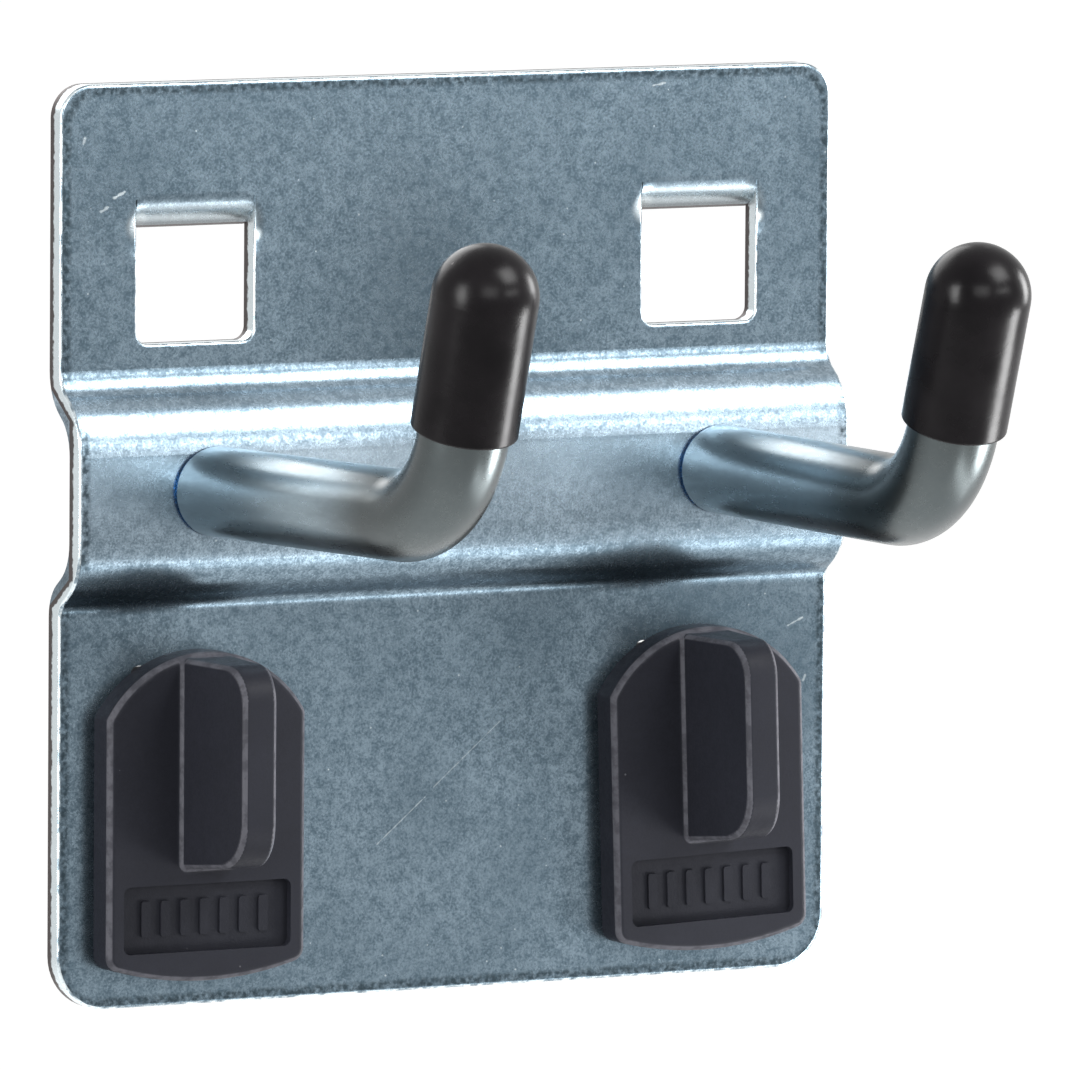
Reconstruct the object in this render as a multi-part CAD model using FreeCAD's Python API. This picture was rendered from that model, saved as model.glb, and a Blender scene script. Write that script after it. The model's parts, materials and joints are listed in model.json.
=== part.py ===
import FreeCAD, Part
import os
from math import pi, radians, sin, sqrt, tan

# Double tool hook for a panel with square perforations, in millimetres.
# X runs to the right, Y back into the panel and Z up. The origin is on the
# plate's back face, midway between the centres of the two upper perforations.

V = FreeCAD.Vector
X_AXIS = V(1, 0, 0)
Y_AXIS = V(0, 1, 0)
Z_AXIS = V(0, 0, 1)

# Panel that the part hangs on
hole_pitch = 38.0
perforation = 10.0
panel_thickness = 1.5

# Sheet steel plate
sheet = 1.5
side_margin = 10.0
plate_height = 61.4
plate_top = 10.5
top_corner_radius = 2.2
bottom_corner_radius = 3.6
edge_roll = 0.25

# Raised channel across the plate, and the bends of its two walls
channel_drop = 27.25
channel_height = 14.65
channel_depth = 3.0
channel_wall_angle = 55.0
channel_upper_root_radius = 2.0
channel_lower_root_radius = 1.2
channel_crest_radius = 3.0

# Windows, and the hanging tabs bent out of them
window_width = 8.7
window_drop = 9.7
window_height = 7.6
window_corner_radius = 0.9
window_edge_roll = 0.2
tab_bend_radius = 0.5
tab_throat_clearance = 0.4

# Holes for the lock clips
clip_hole_width = 9.4
clip_hole_height = 15.5
clip_hole_drop = 38.6
clip_hole_corner_radius = 0.6

# Bent steel rods
rod_diameter = 6.0
rod_root_rise = 0.35
rod_reach = 31.3
left_rod_lean = 18.0
right_rod_lean = 20.3
rod_bend_radius = 8.6
rod_toe_in = 1.7
left_rod_rise = 1.5
right_rod_rise = 0.5
rod_end_chamfer = 0.5
rod_shoulder_chamfer = 0.25
tenon_diameter = 3.5
tenon_clearance = 0.05
rivet_head_clearance = 0.05
rivet_head_height = 1.1

# Vinyl caps pushed on the rods' ends
cap_wall = 0.5
cap_grip_clearance = 0.02
cap_cylinder = 9.2
cap_rim_radius = 0.2

# Lock clips
clip_width = 14.7
clip_thickness = 2.2
clip_rise = 10.85
clip_fall = 11.1
clip_arch_radius = 8.5
clip_bottom_bow = 1.15
clip_shoulder_radius = 0.9
clip_bottom_radius = 1.0
clip_edge_radius = 0.5
clip_hole_clearance = 0.04
left_clip_turn = 0.0
right_clip_turn = 1.9

fin_height = 7.6
fin_root_thickness = 3.9
fin_tip_thickness = 2.45
fin_top = 10.5
fin_bottom = -3.65
fin_nose_bottom = -2.7
fin_top_radius = 2.4
fin_bottom_radius = 3.2
fin_edge_radius = 0.4
fin_root_radius = 0.35

label_width = 12.4
label_height = 4.5
label_centre = -6.8
label_depth = 0.55
label_corner_radius = 0.5
bar_count = 7
bar_width = 0.7
bar_height = 2.4
bar_pitch = 1.45
bar_proud = 0.15

peg_clearance = 0.35
leg_thickness = 1.7
leg_width = 6.4
leg_slot_corner_radius = 0.5
barb_gap = 0.3
barb_catch = 0.4
barb_length = 2.0
barb_ramp = 0.35
boss_gap = 0.1

# Overlap used inside unions and cuts, and the reach of a test for touching
spare = 1.0
near = 0.01

# Sizes that follow from the ones above
plate_width = hole_pitch + 2 * side_margin
half_width = plate_width / 2
plate_bottom = plate_top - plate_height
front = -sheet
channel_front = front - channel_depth
channel_centre = plate_top - channel_drop
channel_run = channel_depth / tan(radians(channel_wall_angle))
crest_outer = channel_crest_radius + sheet
crest_length = crest_outer * tan(radians(channel_wall_angle) / 2)
channel_flat = channel_height / 2 - channel_run - crest_length
rod_root = channel_centre + rod_root_rise
rivet_head_radius = channel_flat - abs(rod_root_rise) - rivet_head_clearance
window_top = plate_top - window_drop
window_bottom = window_top - window_height
rod_radius = rod_diameter / 2
cap_radius = rod_radius + cap_wall
clip_front = front - clip_thickness


def unit(v):
    """The direction of a vector."""
    w = V(v)
    w.normalize()
    return w


def rounded_outline(corners, place):
    """Closed wire through (a, b, radius) corners, each rounded by its own arc."""
    points = [V(a, b, 0) for a, b, r in corners]
    count = len(points)
    reach = []
    for i in range(count):
        to_last = unit(points[i - 1] - points[i])
        to_next = unit(points[(i + 1) % count] - points[i])
        half_angle = to_last.getAngle(to_next) / 2
        reach.append(corners[i][2] / tan(half_angle))
    edges = []
    ends = []
    for i in range(count):
        radius = corners[i][2]
        corner = points[i]
        to_last = unit(points[i - 1] - corner)
        to_next = unit(points[(i + 1) % count] - corner)
        if radius == 0:
            ends.append((corner, corner, None))
            continue
        start = corner + to_last * reach[i]
        stop = corner + to_next * reach[i]
        half_angle = to_last.getAngle(to_next) / 2
        middle_line = unit(to_last + to_next)
        middle = corner + middle_line * (radius / sin(half_angle) - radius)
        ends.append((start, stop, middle))
    for i in range(count):
        start, stop, middle = ends[i]
        if middle is not None:
            edges.append(Part.Arc(place(start), place(middle), place(stop)).toShape())
        following = ends[(i + 1) % count][0]
        if (following - stop).Length > 1e-6:
            edges.append(Part.makeLine(place(stop), place(following)))
    return Part.Wire(Part.__sortEdges__(edges))


def from_front(y):
    """Places outline points (x, z) on the plane at this Y."""
    return lambda p: V(p.x, y, p.y)


def from_side(x):
    """Places outline points (y, z) on the plane at this X."""
    return lambda p: V(x, p.x, p.y)


def prism_back(corners, y_start, y_end):
    """Outline in X and Z, carried from one Y to another."""
    face = Part.Face(rounded_outline(corners, from_front(y_start)))
    return face.extrude(V(0, y_end - y_start, 0))


def prism_across(corners, x_start, x_end):
    """Outline in Y and Z, carried from one X to another."""
    face = Part.Face(rounded_outline(corners, from_side(x_start)))
    return face.extrude(V(x_end - x_start, 0, 0))


def rectangle(x_centre, z_low, z_high, width, low_radius, high_radius):
    """Corners of an upright rectangle with its own radii below and above."""
    left = x_centre - width / 2
    right = x_centre + width / 2
    return [
        (left, z_low, low_radius),
        (right, z_low, low_radius),
        (right, z_high, high_radius),
        (left, z_high, high_radius),
    ]


def edges_where(shape, test):
    """Edges whose middle point passes the test."""
    chosen = []
    for edge in shape.Edges:
        middle = edge.valueAt((edge.FirstParameter + edge.LastParameter) / 2)
        if test(edge, middle):
            chosen.append(edge)
    return chosen


def plate_profile():
    """Side outline of the bent sheet, with both faces of every bend."""
    shift = sheet * tan(radians(channel_wall_angle) / 2)
    upper_outer = channel_upper_root_radius + sheet
    lower_outer = channel_lower_root_radius + sheet
    upper = channel_centre + channel_height / 2
    lower = channel_centre - channel_height / 2
    return [
        (front, plate_top, 0),
        (front, upper, channel_upper_root_radius),
        (channel_front, upper - channel_run, crest_outer),
        (channel_front, lower + channel_run, crest_outer),
        (front, lower, channel_lower_root_radius),
        (front, plate_bottom, 0),
        (0, plate_bottom, 0),
        (0, lower + shift, lower_outer),
        (-channel_depth, lower + channel_run + shift, channel_crest_radius),
        (-channel_depth, upper - channel_run - shift, channel_crest_radius),
        (0, upper - shift, upper_outer),
        (0, plate_top, 0),
    ]


def tab(x_centre):
    """Hanging tab: back through the panel, then up behind it."""
    inner = tab_bend_radius
    outer = inner + sheet
    bend_centre = window_top + outer
    throat = panel_thickness + tab_throat_clearance
    neutral_arc = (inner + sheet / 2) * pi / 2
    straight = throat - 2 * inner
    blank = bend_centre - window_bottom
    tail = blank - 2 * neutral_arc - straight
    tail_top = bend_centre + tail
    overlap = bend_centre + spare
    corners = [
        (front, overlap, 0),
        (front, window_top, outer),
        (throat + sheet, window_top, outer),
        (throat + sheet, tail_top, 0),
        (throat, tail_top, 0),
        (throat, window_top + sheet, inner),
        (0, window_top + sheet, inner),
        (0, overlap, 0),
    ]
    half = window_width / 2
    return prism_across(corners, x_centre - half, x_centre + half)


def front_rim(plate):
    """Edges where the plate's front skin meets its outline."""
    skin = []
    for face in plate.Faces:
        u0, u1, v0, v1 = face.ParameterRange
        normal = face.normalAt((u0 + u1) / 2, (v0 + v1) / 2)
        if normal.y < -0.5:
            skin.append(face)
    rim = []
    for edge in plate.Edges:
        owners = [face for face in skin if any(edge.isSame(other) for other in face.Edges)]
        if len(owners) == 1:
            rim.append(edge)
    return rim


def window_rim(plate, x_centre, top):
    """Front edges of a window, all but its top one."""
    half = window_width / 2

    def on_rim(edge, p):
        inside = abs(p.x - x_centre) < half + near and window_bottom - near < p.z < top - near
        return inside and abs(p.y - front) < near

    return edges_where(plate, on_rim)


def back_plate():
    """Stamped plate with its channel, windows, tabs and holes."""
    plate = prism_across(plate_profile(), -half_width, half_width)
    outline = rectangle(0, plate_bottom, plate_top, plate_width,
                        bottom_corner_radius, top_corner_radius)
    depth = channel_depth + 2 * sheet
    plate = plate.common(prism_back(outline, -depth, sheet))

    plate = plate.makeFillet(edge_roll, front_rim(plate))
    for side in (-1, 1):
        x = side * hole_pitch / 2
        bend_centre = window_top + tab_bend_radius + sheet
        window = rectangle(x, window_bottom, bend_centre, window_width,
                           window_corner_radius, 0)
        plate = plate.cut(prism_back(window, -depth, sheet))
        plate = plate.makeFillet(window_edge_roll, window_rim(plate, x, bend_centre))
        clip_top = plate_top - clip_hole_drop
        clip_hole = rectangle(x, clip_top - clip_hole_height, clip_top,
                              clip_hole_width, clip_hole_corner_radius,
                              clip_hole_corner_radius)
        plate = plate.cut(prism_back(clip_hole, -depth, sheet))
        tenon_hole = Part.makeCylinder(tenon_diameter / 2 + tenon_clearance, depth,
                                       V(x, -depth, rod_root), Y_AXIS)
        plate = plate.cut(tenon_hole)
        plate = plate.fuse(tab(x))
    return plate.removeSplitter()


def rod_lean(side):
    """Forward lean of one upright end, in degrees."""
    return left_rod_lean if side < 0 else right_rod_lean


def rod_tangent(side):
    """Length that the bend takes from the arm and from the upright."""
    return rod_bend_radius * tan(radians((90.0 - rod_lean(side)) / 2))


def place_on_rod(shape, side):
    """Turns a shape from the rod's own frame by its rise and toe-in, to its root."""
    rise = left_rod_rise if side < 0 else right_rod_rise
    placed = shape.copy()
    placed.rotate(V(0, 0, 0), X_AXIS, -rise)
    placed.rotate(V(0, 0, 0), Z_AXIS, -side * rod_toe_in)
    placed.translate(V(side * hole_pitch / 2, channel_front, rod_root))
    return placed


def place_on_upright(shape, side):
    """Carries a shape from the Z axis to the upright end, in the rod's own frame."""
    placed = shape.copy()
    placed.rotate(V(0, 0, 0), X_AXIS, rod_lean(side))
    placed.translate(V(0, -rod_reach, 0))
    return placed


def hook_rod(side):
    """Arm, bend and upright, with a tenon riveted behind the channel."""
    tangent = rod_tangent(side)
    end = tangent + cap_cylinder
    arm_length = rod_reach - tangent
    arm = Part.makeCylinder(rod_radius, arm_length + spare, V(0, spare, 0), -Y_AXIS)
    section = Part.Face(Part.Wire(Part.makeCircle(rod_radius, V(0, -arm_length, 0), Y_AXIS)))
    pivot = V(0, -arm_length, rod_bend_radius)
    bend = section.revolve(pivot, -X_AXIS, 90.0 - rod_lean(side))
    upright = Part.makeCylinder(rod_radius, cap_cylinder, V(0, 0, tangent), Z_AXIS)
    tip = edges_where(upright, lambda edge, p: abs(p.z - end) < near)
    upright = upright.makeChamfer(rod_end_chamfer, tip)
    rod = arm.fuse([bend, place_on_upright(upright, side)])
    rod = place_on_rod(rod.removeSplitter(), side)

    x = side * hole_pitch / 2
    side_length = 2 * rod_diameter
    corner = V(x - rod_diameter, channel_front, rod_root - rod_diameter)
    block = Part.makeBox(side_length, side_length, side_length, corner)
    rod = rod.cut(block)
    root = edges_where(rod, lambda edge, p: abs(p.y - channel_front) < near)
    rod = rod.makeChamfer(rod_shoulder_chamfer, root)
    tenon = Part.makeCylinder(tenon_diameter / 2, spare + sheet,
                              V(x, channel_front - spare, rod_root), Y_AXIS)
    channel_back = channel_front + sheet
    head = Part.makeCylinder(rivet_head_radius, rivet_head_height,
                             V(x, channel_back, rod_root), Y_AXIS)
    rim = edges_where(head, lambda edge, p: abs(p.y - channel_back - rivet_head_height) < near)
    head = head.makeFillet(rivet_head_height / 2, rim)
    rod = rod.fuse([tenon, head])
    return rod.removeSplitter()


def end_cap(side):
    """Round-ended cap with a bore that grips the rod."""
    bore = rod_radius + cap_grip_clearance
    mouth = rod_tangent(side)
    base = V(0, 0, mouth)
    dome_centre = V(0, 0, mouth + cap_cylinder)
    outside = Part.makeCylinder(cap_radius, cap_cylinder, base, Z_AXIS)
    outside = outside.fuse(Part.makeSphere(cap_radius, dome_centre)).removeSplitter()
    rim = edges_where(outside, lambda edge, p: abs(p.z - mouth) < near)
    outside = outside.makeFillet(cap_rim_radius, rim)
    inside = Part.makeCylinder(bore, cap_cylinder, base, Z_AXIS)
    inside = inside.fuse(Part.makeSphere(bore, dome_centre)).removeSplitter()
    return place_on_rod(place_on_upright(outside.cut(inside), side), side)


def clip_base():
    """Arched front plate of a clip, centred on the lower perforation."""
    half = clip_width / 2
    arch_centre = clip_rise - clip_arch_radius
    shoulder = arch_centre + sqrt(clip_arch_radius ** 2 - half ** 2)
    corner = -clip_fall + clip_bottom_bow
    arch = Part.Arc(V(-half, front, shoulder), V(0, front, clip_rise), V(half, front, shoulder))
    bow = Part.Arc(V(half, front, corner), V(0, front, -clip_fall), V(-half, front, corner))
    right = Part.makeLine(V(half, front, shoulder), V(half, front, corner))
    left = Part.makeLine(V(-half, front, corner), V(-half, front, shoulder))
    outline = Part.Wire([arch.toShape(), right, bow.toShape(), left])
    base = Part.Face(outline).extrude(V(0, -clip_thickness, 0))

    def upright_edge(height):
        return lambda edge, p: abs(p.z - height) < near and abs(abs(p.x) - half) < near

    base = base.makeFillet(clip_shoulder_radius, edges_where(base, upright_edge(shoulder)))
    base = base.makeFillet(clip_bottom_radius, edges_where(base, upright_edge(corner)))
    rim = edges_where(base, lambda edge, p: abs(p.y - clip_front) < near)
    return base.makeFillet(clip_edge_radius, rim)


def clip_fin():
    """Wedge-shaped finger fin, thinner towards its nose."""
    root = clip_front + clip_thickness / 2
    nose = clip_front - fin_height
    side_outline = [
        (root, fin_top, 0),
        (root, fin_bottom, 0),
        (nose, fin_nose_bottom, fin_bottom_radius),
        (nose, fin_top, fin_top_radius),
    ]
    half = fin_root_thickness
    fin = prism_across(side_outline, -half, half)
    taper = (fin_root_thickness - fin_tip_thickness) / 2 / fin_height
    root_half = fin_root_thickness / 2 + taper * (root - clip_front)
    nose_half = fin_tip_thickness / 2
    low = fin_bottom - spare
    wedge = Part.Face(Part.makePolygon([
        V(-root_half, root, low),
        V(root_half, root, low),
        V(nose_half, nose, low),
        V(-nose_half, nose, low),
        V(-root_half, root, low),
    ])).extrude(V(0, 0, fin_top - low + spare))
    fin = fin.common(wedge)
    flank = edges_where(fin, lambda edge, p: p.y < root - near and abs(p.x) > nose_half - near)
    return fin.makeFillet(fin_edge_radius, flank)


def clip_back():
    """Boss in the plate's hole, and the two barbed legs that go through the panel."""
    top = plate_top - clip_hole_drop + hole_pitch
    bottom = top - clip_hole_height
    turn = radians(max(abs(left_clip_turn), abs(right_clip_turn)))
    side_play = clip_hole_clearance + clip_hole_height / 2 * sin(turn)
    end_play = clip_hole_clearance + clip_hole_width / 2 * sin(turn)
    boss_width = clip_hole_width - 2 * side_play
    boss = prism_back(rectangle(0, bottom + end_play, top - end_play, boss_width,
                                clip_hole_corner_radius, clip_hole_corner_radius),
                      front, -boss_gap)
    peg = perforation / 2 - peg_clearance
    barb_start = panel_thickness + barb_gap
    barb_end = barb_start + barb_length
    catch = perforation / 2 + barb_catch
    leg_outline = [
        (front, peg, 0),
        (front, peg - leg_thickness, 0),
        (barb_end, peg - leg_thickness, 0),
        (barb_end, peg - leg_thickness / 2, 0),
        (barb_start + barb_ramp, catch, 0),
        (barb_start, peg, 0),
    ]
    upper_leg = prism_across(leg_outline, -leg_width / 2, leg_width / 2)
    lower_leg = upper_leg.mirror(V(0, 0, 0), Z_AXIS)
    core_height = 2 * (peg - leg_thickness)
    core = prism_back(rectangle(0, -core_height / 2, core_height / 2, leg_width,
                                leg_slot_corner_radius, leg_slot_corner_radius),
                      front, sheet)
    return boss.fuse([upper_leg, lower_leg]).cut(core)


def lock_clip(side, turn):
    """One moulded clip with its fin, label panel, boss and legs."""
    clip = clip_base()
    low = label_centre - label_height / 2
    high = label_centre + label_height / 2
    panel = rectangle(0, low, high, label_width, label_corner_radius, label_corner_radius)
    floor = clip_front + label_depth
    clip = clip.cut(prism_back(panel, clip_front - spare, floor))
    bars = []
    for i in range(bar_count):
        x = (i - (bar_count - 1) / 2) * bar_pitch
        bar = rectangle(x, label_centre - bar_height / 2, label_centre + bar_height / 2,
                        bar_width, bar_width / 4, bar_width / 4)
        bars.append(prism_back(bar, floor - bar_proud, floor + bar_proud))
    clip = clip.fuse(clip_fin()).removeSplitter()

    def fin_root(edge, p):
        on_face = abs(p.y - clip_front) < near
        in_fin = abs(p.x) < fin_root_thickness / 2 + near
        return on_face and in_fin and fin_bottom - near < p.z < fin_top

    clip = clip.makeFillet(fin_root_radius, edges_where(clip, fin_root))
    clip = clip.fuse(bars + [clip_back()])
    clip = clip.removeSplitter()
    clip.rotate(V(0, 0, 0), Y_AXIS, -turn)
    clip.translate(V(side * hole_pitch / 2, 0, -hole_pitch))
    return clip


def as_solid(shape):
    """The one solid of a shape, or an error."""
    if len(shape.Solids) != 1 or not shape.isValid():
        raise ValueError("a piece is not one valid solid")
    return shape.Solids[0]


pieces = {
    "back_plate": back_plate(),
    "hook_rod_left": hook_rod(-1),
    "hook_rod_right": hook_rod(1),
    "end_cap_left": end_cap(-1),
    "end_cap_right": end_cap(1),
    "lock_clip_left": lock_clip(-1, left_clip_turn),
    "lock_clip_right": lock_clip(1, right_clip_turn),
}

os.makedirs("parts", exist_ok=True)
as_solid(pieces["back_plate"]).exportStep("parts/back_plate.step")
as_solid(pieces["hook_rod_left"]).exportStep("parts/hook_rod_left.step")
as_solid(pieces["hook_rod_right"]).exportStep("parts/hook_rod_right.step")
as_solid(pieces["end_cap_left"]).exportStep("parts/end_cap_left.step")
as_solid(pieces["end_cap_right"]).exportStep("parts/end_cap_right.step")
as_solid(pieces["lock_clip_left"]).exportStep("parts/lock_clip_left.step")
as_solid(pieces["lock_clip_right"]).exportStep("parts/lock_clip_right.step")
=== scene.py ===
"""Finishes and studio of a double tool hook for a perforated panel.

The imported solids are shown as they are, each with its own procedural finish.
Lengths in the settings are metres. Places inside the finishes are millimetres,
measured from the middle between the two upper perforations, X to the right,
Y back into the panel and Z up.
"""

import json
from math import cos, pi, radians, sin

import bpy
from mathutils import Matrix, Vector

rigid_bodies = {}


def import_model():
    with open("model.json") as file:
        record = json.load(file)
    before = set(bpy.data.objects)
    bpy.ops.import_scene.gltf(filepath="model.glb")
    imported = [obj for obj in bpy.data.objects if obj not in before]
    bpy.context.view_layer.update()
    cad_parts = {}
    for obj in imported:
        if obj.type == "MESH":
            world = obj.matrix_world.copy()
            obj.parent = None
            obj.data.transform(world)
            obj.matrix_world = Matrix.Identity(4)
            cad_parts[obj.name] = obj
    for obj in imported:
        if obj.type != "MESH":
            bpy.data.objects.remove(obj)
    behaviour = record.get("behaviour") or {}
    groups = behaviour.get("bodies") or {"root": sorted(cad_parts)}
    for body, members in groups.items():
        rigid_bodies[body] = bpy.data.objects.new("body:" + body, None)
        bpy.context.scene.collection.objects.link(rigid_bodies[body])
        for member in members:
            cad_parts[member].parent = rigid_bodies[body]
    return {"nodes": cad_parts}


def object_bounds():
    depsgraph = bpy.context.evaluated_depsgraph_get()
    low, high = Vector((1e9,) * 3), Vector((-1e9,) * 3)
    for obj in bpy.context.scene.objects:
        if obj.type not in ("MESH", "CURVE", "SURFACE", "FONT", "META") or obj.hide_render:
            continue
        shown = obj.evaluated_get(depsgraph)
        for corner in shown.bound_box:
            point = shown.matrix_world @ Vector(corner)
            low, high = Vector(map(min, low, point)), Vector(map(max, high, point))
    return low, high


bl_info = {
    "name": "Double tool hook",
    "version": (1, 0, 0),
    "blender": (4, 5, 0),
    "location": "3D View > Sidebar > Tool hook",
    "description": "Finishes a zinc-plated double tool hook and lights it on a pale floor",
    "category": "Object",
}

# The hook is measured alone, so whatever an empty session holds goes first
for leftover in list(bpy.data.objects):
    bpy.data.objects.remove(leftover)

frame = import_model()
CAD_LOW, CAD_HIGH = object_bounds()

# Faces of the bent sheet, in millimetres
SHEET = 1.5
CHANNEL_DEPTH = 3.0
CHANNEL_RUN = 2.1
CHANNEL_CENTRE = -16.75
CHANNEL_HALF_HEIGHT = 7.33
CHANNEL_FRONT = -SHEET - CHANNEL_DEPTH
CHANNEL_FACE_LOW = -19.6
CHANNEL_FACE_TOP = -14.2
UPPER_WALL_LOW = -10.9
UPPER_WALL_TOP = -9.5
PLATE_TOP = 10.5
PLATE_BOTTOM = -50.9
PLATE_HALF_WIDTH = 29.0
CORNER = 2.9
WINDOW_SILL = -6.8
CLIP_FRONT = -3.7
MM_PER_METRE = 1000.0

# Painted reflection on the channel: the foot of its paler tone, its fade above the face, and its
# share on the upper wall
CHANNEL_SHEEN_LOW = CHANNEL_FACE_LOW - 1.5
CREST_FADE = 1.0
UPPER_WALL_SHEEN = 0.55

# Heights between which a tab's bend carries a painted highlight, and how far in a rubbed and
# highlighted outer edge reaches
FOLD_HIGHLIGHT_BAND = (0.95, 2.6)
EDGE_BAND = 0.4

# How squarely a face looks along an axis, from 0 to 1: under EDGE_ON it is a cut edge,
# over FRONT_ON a flat front, and up to TURNED_AWAY a rolled edge
EDGE_ON = 0.45
FRONT_ON = 0.9
TURNED_AWAY = 0.93

# Coarse grain beside the fine: its scale and its share, and the speck cells left empty
COARSE_GRAIN = 0.26
COARSE_SHARE = 0.38
EMPTY_CELLS = 0.72

# Grain is drawn out along a rod
ALONG_THE_ROD = (1.0, 0.25, 1.0)

# Dust on the black pieces, and how strongly they reflect
DUST_ON_VINYL = (0.16, 0.15, 0.15)
DUST_ON_PLASTIC = (0.16, 0.16, 0.17)
VINYL_SPECULAR = 0.10
PLASTIC_SPECULAR = 0.055

# Floor: corners of its rim, and the glow that lifts it to white where it is seen
FLOOR_CORNERS = 96
FLOOR_LIFT = 0.56
WHITE = (1.0, 1.0, 1.0, 1.0)

# Camera: width of its sensor in millimetres, nearest and farthest seen in metres
SENSOR_WIDTH = 36.0
NEAREST_SEEN = 0.01
FARTHEST_SEEN = 20.0

# Point of the hook that the lamps look at, in metres
LAMP_AIM = (0.0, 0.0, -0.018)

# Lamps: turn and rise in degrees, distance, width and height in metres, glow, and the
# angle that the light spreads over in degrees
LAMPS = (
    ("Key lamp", 34.0, 43.0, 0.42, 0.24, 0.20, 2.3, 60.0),
    ("Front lamp", 28.0, 13.0, 0.42, 0.24, 0.06, 1.3, 60.0),
    ("Right lamp", 64.0, -25.0, 0.22, 0.07, 0.09, 5.0, 60.0),
    ("Side lamp", 90.0, 8.0, 0.40, 0.12, 0.22, 2.5, 60.0),
    ("Left lamp", -75.0, 8.0, 0.40, 0.14, 0.26, 2.6, 60.0),
    ("Fill lamp", -18.0, 16.0, 0.42, 0.24, 0.14, 0.8, 60.0),
    ("Back lamp", 186.0, 32.0, 0.45, 0.42, 0.30, 0.9, 90.0),
    ("Low lamp", 40.0, -44.0, 0.13, 0.11, 0.025, 4.6, 180.0),
)

# Small marks on the plate's front: start and end (x, z), width and strength
PLATE_MARKS = (
    ((-5.2, -40.9), (-1.6, -37.9), 0.07, 0.30),
    ((-1.0, -37.3), (4.0, -33.1), 0.06, 0.22),
    ((-25.0, 3.0), (-24.3, 3.35), 0.16, 0.55),
    ((-26.0, 2.1), (-25.5, 2.4), 0.14, 0.4),
    ((-27.35, 6.6), (-27.25, 7.0), 0.14, 0.4),
    ((26.1, -27.6), (27.2, -27.1), 0.12, 0.5),
    ((27.3, -31.4), (27.45, -31.0), 0.14, 0.4),
    ((15.4, 9.3), (16.3, 9.45), 0.12, 0.4),
)

# Where the sheet is drawn in along a tab's bend: middle (x, z), half length, radius and depth
DRAWN_IN = (
    ((-19.0, 0.7), 3.4, 1.9, 0.5),
    ((19.0, 0.7), 3.4, 1.9, 0.5),
)

# Painted highlights at the ends of the tabs' bends: (x, z), radius and strength
FOLD_END_HIGHLIGHTS = (
    ((-23.2, 1.0), 1.2, 0.95),
    ((-14.5, 0.3), 0.6, 0.9),
    ((14.8, 1.0), 1.2, 0.95),
    ((23.5, 0.3), 0.6, 0.9),
)

# Painted shade in soft dark clouds on and below the channel's lower wall: (x, z), radius and
# strength
PLATE_PAINTED_SHADE = (
    ((19.0, -26.0), 8.0, 0.55),
    ((25.5, -30.0), 6.0, 0.45),
    ((6.0, -27.0), 7.0, 0.30),
)


def colour(name, description, default):
    """A colour setting."""
    return bpy.props.FloatVectorProperty(
        name=name, description=description, subtype="COLOR", size=3,
        min=0.0, max=1.0, default=default)


def share(name, description, default, high=1.0):
    """A setting from nothing to a whole."""
    return bpy.props.FloatProperty(
        name=name, description=description, subtype="FACTOR",
        min=0.0, max=high, default=default)


def metres(name, description, default, low=0.0, high=10.0):
    """A length setting."""
    return bpy.props.FloatProperty(
        name=name, description=description, unit="LENGTH", precision=5,
        min=low, max=high, default=default)


def angle(name, description, default):
    """An angle setting, given in degrees."""
    return bpy.props.FloatProperty(
        name=name, description=description, subtype="ANGLE", default=radians(default))


class ToolHookPlate(bpy.types.PropertyGroup):
    """Finish of the stamped plate."""

    zinc: colour("Zinc", "Lighter tone of the blue-passivated zinc", (0.180, 0.237, 0.281))
    zinc_shade: colour("Zinc shade", "Darker tone of its grain", (0.052, 0.079, 0.101))
    # Also the tone of the painted highlights on the tabs' bends and on the rolled edges
    bright_edge_and_highlight: colour("Bright edge", "Burnished cut edge and rubbed corners", (0.62, 0.68, 0.70))
    broken_edge: colour("Broken edge", "Rough rear part of the cut edge", (0.030, 0.018, 0.016))
    # Painted reflection: the paler tone laid on the channel's face and upper wall
    channel: colour("Channel", "Paler tone of the stretched sheet on the channel",
                    (0.470, 0.575, 0.660))
    # Painted shade: the dark tone laid along the plate's outline and under the tabs' bends
    outline: colour("Outline", "Dark stain along the plate's outline", (0.022, 0.034, 0.042))
    grain: share("Grain", "Share of the darker tone in the grain", 0.9)
    roughness: share("Roughness", "Middle roughness of the zinc", 0.27)
    waviness: metres("Waviness", "Height of the sheet's soft waves", 0.00001, high=0.0005)
    # Rubbed wear and a painted highlight on the rolled edges
    edge_wear_and_highlight: share("Edge wear", "How bright the rolled edges are rubbed", 0.8)
    # Strength of the painted shade along the outline
    outline_shade: share("Fringe", "Strength of the dark stain along the outline", 0.85)


class ToolHookRods(bpy.types.PropertyGroup):
    """Finish of the two bent rods."""

    # Painted light and shade: the arm's paler tone and the bend's darker tone stand in for how
    # light falls on them
    zinc: colour("Zinc", "Pale tone of the smooth zinc on the arm", (0.285, 0.355, 0.395))
    bent: colour("Bent part", "Darker tone of the bend and the upright", (0.080, 0.091, 0.092))
    zinc_shade: colour("Zinc shade", "Darker tone of the clouds", (0.045, 0.055, 0.060))
    bend_start: metres("Bend start", "How far in front of the plate the darker tone begins",
                       0.022, high=0.04)
    bend_end: metres("Bend end", "How far in front of the plate it is full", 0.030, high=0.04)
    seam: colour("Seam", "Dark line where a rod meets the channel", (0.012, 0.07, 0.17))
    seam_width: metres("Seam width", "Length of the dark line along the rod", 0.0003, high=0.002)
    roughness: share("Roughness", "Middle roughness of the zinc", 0.28)


class ToolHookCaps(bpy.types.PropertyGroup):
    """Finish of the two vinyl caps."""

    vinyl: colour("Vinyl", "Tone of the dipped vinyl", (0.0018, 0.0014, 0.0018))
    bloom: colour("Bloom", "Paler bloom that lies on it in patches", (0.006, 0.005, 0.0058))
    roughness: share("Roughness", "Middle roughness of the vinyl", 0.25)


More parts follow.
